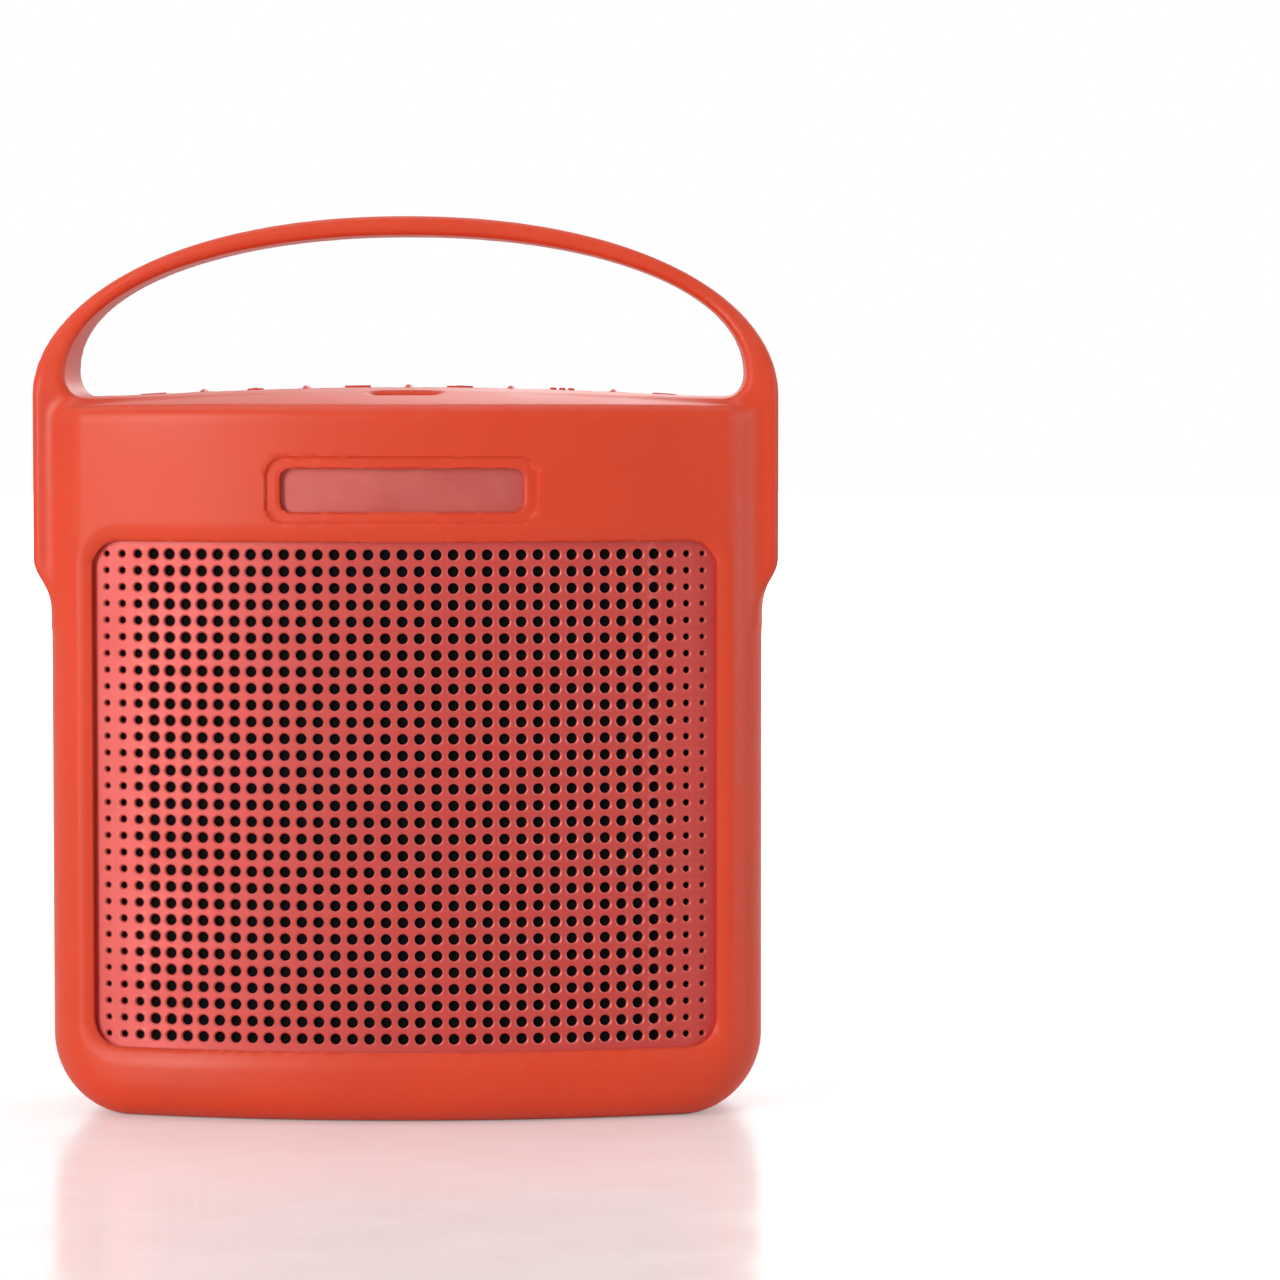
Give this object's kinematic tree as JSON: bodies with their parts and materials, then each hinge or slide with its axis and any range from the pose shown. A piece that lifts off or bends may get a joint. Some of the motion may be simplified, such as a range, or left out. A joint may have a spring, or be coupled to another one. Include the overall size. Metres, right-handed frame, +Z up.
{
  "type": "portable speaker",
  "caption": "Portable speaker in a moulded silicone carry sleeve with an arch handle, roof keys, bowed perforated grilles and side sockets.",
  "frame": {"origin": "centre of the underside", "axes": "+Z up, front grille faces -Y, +X to the viewer's right from the front"},
  "size_m": [0.139, 0.061, 0.168],
  "materials": {
    "sleeve_silicone": "matt moulded silicone with a soft sheen",
    "pad_silicone": "matt moulded silicone",
    "grille_paint": "satin powder coat over perforated steel",
    "badge_paint": "satin paint",
    "black_plastic": "fine moulded grain",
    "grey_plastic": "fine moulded grain",
    "key_plastic": "smooth",
    "clear_plastic": "clear moulded plastic",
    "smoked_plastic": "tinted clear moulded plastic",
    "cloth": "fine black acoustic cloth",
    "board": "solder mask",
    "components": "moulded packages",
    "bright_steel": "plated",
    "dark_steel": "black oxide",
    "ferrite": "sintered",
    "paper_cone": "pressed pulp",
    "soft_rubber": "soft black rubber",
    "foam": "closed-cell foam",
    "copper": "enamelled copper winding",
    "weave": "resin-dipped cloth",
    "cell_wrap": "shrink-wrap film",
    "lead_sheath": "insulated wire",
    "ribbon_film": "flat flexible cable"
  },
  "bodies": {
    "speaker": {"badge_plate": "badge_paint", "battery_cells": "cell_wrap", "battery_tray": "grey_plastic", "board_components": "components", "button_board": "board", "button_ribbon": "ribbon_film", "charging_socket": "bright_steel", "control_panel": "grey_plastic", "driver_baskets": "dark_steel", "driver_gaskets": "foam", "driver_magnets": "ferrite", "driver_spiders": "weave", "driver_surrounds": "soft_rubber", "driver_yokes": "bright_steel", "front_cloth": "cloth", "front_grille": "grille_paint", "front_housing": "black_plastic", "front_radiator_frame": "grey_plastic", "front_radiator_roll": "soft_rubber", "housing_gasket": "foam", "housing_screws": "bright_steel", "main_board": "board", "microphone": "bright_steel", "radio_shield_can": "bright_steel", "rear_cloth": "cloth", "rear_grille": "grille_paint", "rear_housing": "black_plastic", "rear_radiator_frame": "grey_plastic", "rear_radiator_roll": "soft_rubber", "rubber_foot": "soft_rubber", "silicone_sleeve": "sleeve_silicone", "small_screws": "bright_steel", "socket_bezel": "black_plastic", "socket_board": "board", "sound_socket": "black_plastic", "status_lamps": "clear_plastic", "status_lens": "smoked_plastic", "status_light_pipe": "clear_plastic", "tact_switches": "components", "wire_leads": "lead_sheath"},
    "power_button": {"power_pad": "pad_silicone", "power_key": "key_plastic"},
    "pairing_button": {"pairing_pad": "pad_silicone", "pairing_key": "key_plastic"},
    "volume_down_button": {"volume_down_pad": "pad_silicone", "volume_down_key": "key_plastic"},
    "volume_up_button": {"volume_up_pad": "pad_silicone", "volume_up_key": "key_plastic"},
    "multifunction_button": {"multifunction_pad": "pad_silicone", "multifunction_key": "key_plastic"},
    "input_button": {"input_pad": "pad_silicone", "input_key": "key_plastic"},
    "left_cone": {"left_driver_cone": "paper_cone", "left_driver_voice_coil": "copper", "left_driver_dust_cap": "paper_cone"},
    "right_cone": {"right_driver_cone": "paper_cone", "right_driver_voice_coil": "copper", "right_driver_dust_cap": "paper_cone"},
    "front_radiator": {"front_radiator_plate": "dark_steel"},
    "rear_radiator": {"rear_radiator_plate": "dark_steel"}
  },
  "joints": [
    {"name": "power_press", "type": "slide", "parent": "speaker", "child": "power_button", "axis": [0, 0, -1], "range_m": [0, 0.0006], "stiffness_N_per_m": 1500},
    {"name": "pairing_press", "type": "slide", "parent": "speaker", "child": "pairing_button", "axis": [0, 0, -1], "range_m": [0, 0.0006], "stiffness_N_per_m": 1500},
    {"name": "volume_down_press", "type": "slide", "parent": "speaker", "child": "volume_down_button", "axis": [0, 0, -1], "range_m": [0, 0.0006], "stiffness_N_per_m": 1500},
    {"name": "volume_up_press", "type": "slide", "parent": "speaker", "child": "volume_up_button", "axis": [0, 0, -1], "range_m": [0, 0.0006], "stiffness_N_per_m": 1500},
    {"name": "multifunction_press", "type": "slide", "parent": "speaker", "child": "multifunction_button", "axis": [0, 0, -1], "range_m": [0, 0.0006], "stiffness_N_per_m": 1500},
    {"name": "input_press", "type": "slide", "parent": "speaker", "child": "input_button", "axis": [0, 0, -1], "range_m": [0, 0.0006], "stiffness_N_per_m": 1500},
    {"name": "left_cone_stroke", "type": "slide", "parent": "speaker", "child": "left_cone", "axis": [0, -1, 0], "range_m": [-0.0015, 0.0015], "stiffness_N_per_m": 1200, "deforming": ["driver_surrounds", "driver_spiders"]},
    {"name": "right_cone_stroke", "type": "slide", "parent": "speaker", "child": "right_cone", "axis": [0, -1, 0], "range_m": [-0.0015, 0.0015], "stiffness_N_per_m": 1200, "deforming": ["driver_surrounds", "driver_spiders"]},
    {"name": "front_radiator_stroke", "type": "slide", "parent": "speaker", "child": "front_radiator", "axis": [0, -1, 0], "range_m": [-0.0025, 0.0025], "stiffness_N_per_m": 900, "deforming": ["front_radiator_roll"]},
    {"name": "rear_radiator_stroke", "type": "slide", "parent": "speaker", "child": "rear_radiator", "axis": [0, 1, 0], "range_m": [-0.0025, 0.0025], "stiffness_N_per_m": 900, "deforming": ["rear_radiator_roll"]}
  ]
}
